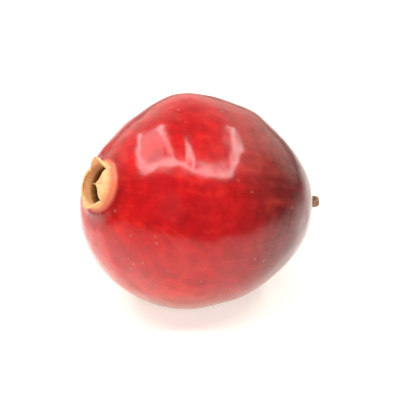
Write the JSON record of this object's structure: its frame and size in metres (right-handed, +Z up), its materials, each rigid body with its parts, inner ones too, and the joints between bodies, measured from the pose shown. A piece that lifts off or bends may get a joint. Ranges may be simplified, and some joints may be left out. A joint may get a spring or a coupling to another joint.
{
  "type": "cranberry",
  "caption": "Ripe glossy red cranberry, a slightly egg-shaped berry lying on its side, with a small four-pointed calyx at one end and a stalk stub at the other.",
  "frame": {"origin": "middle of the small flat spot on the underside that the berry rests on", "axes": "+Z up; +X along the length of the berry, from the calyx towards the stalk; -Y is its front"},
  "size_m": [0.0204, 0.017, 0.0171],
  "materials": {
    "skin": "glossy waxy fruit skin, darker red towards the stalk, cream calyx"
  },
  "bodies": {
    "root": {"cranberry": "skin"}
  },
  "joints": []
}
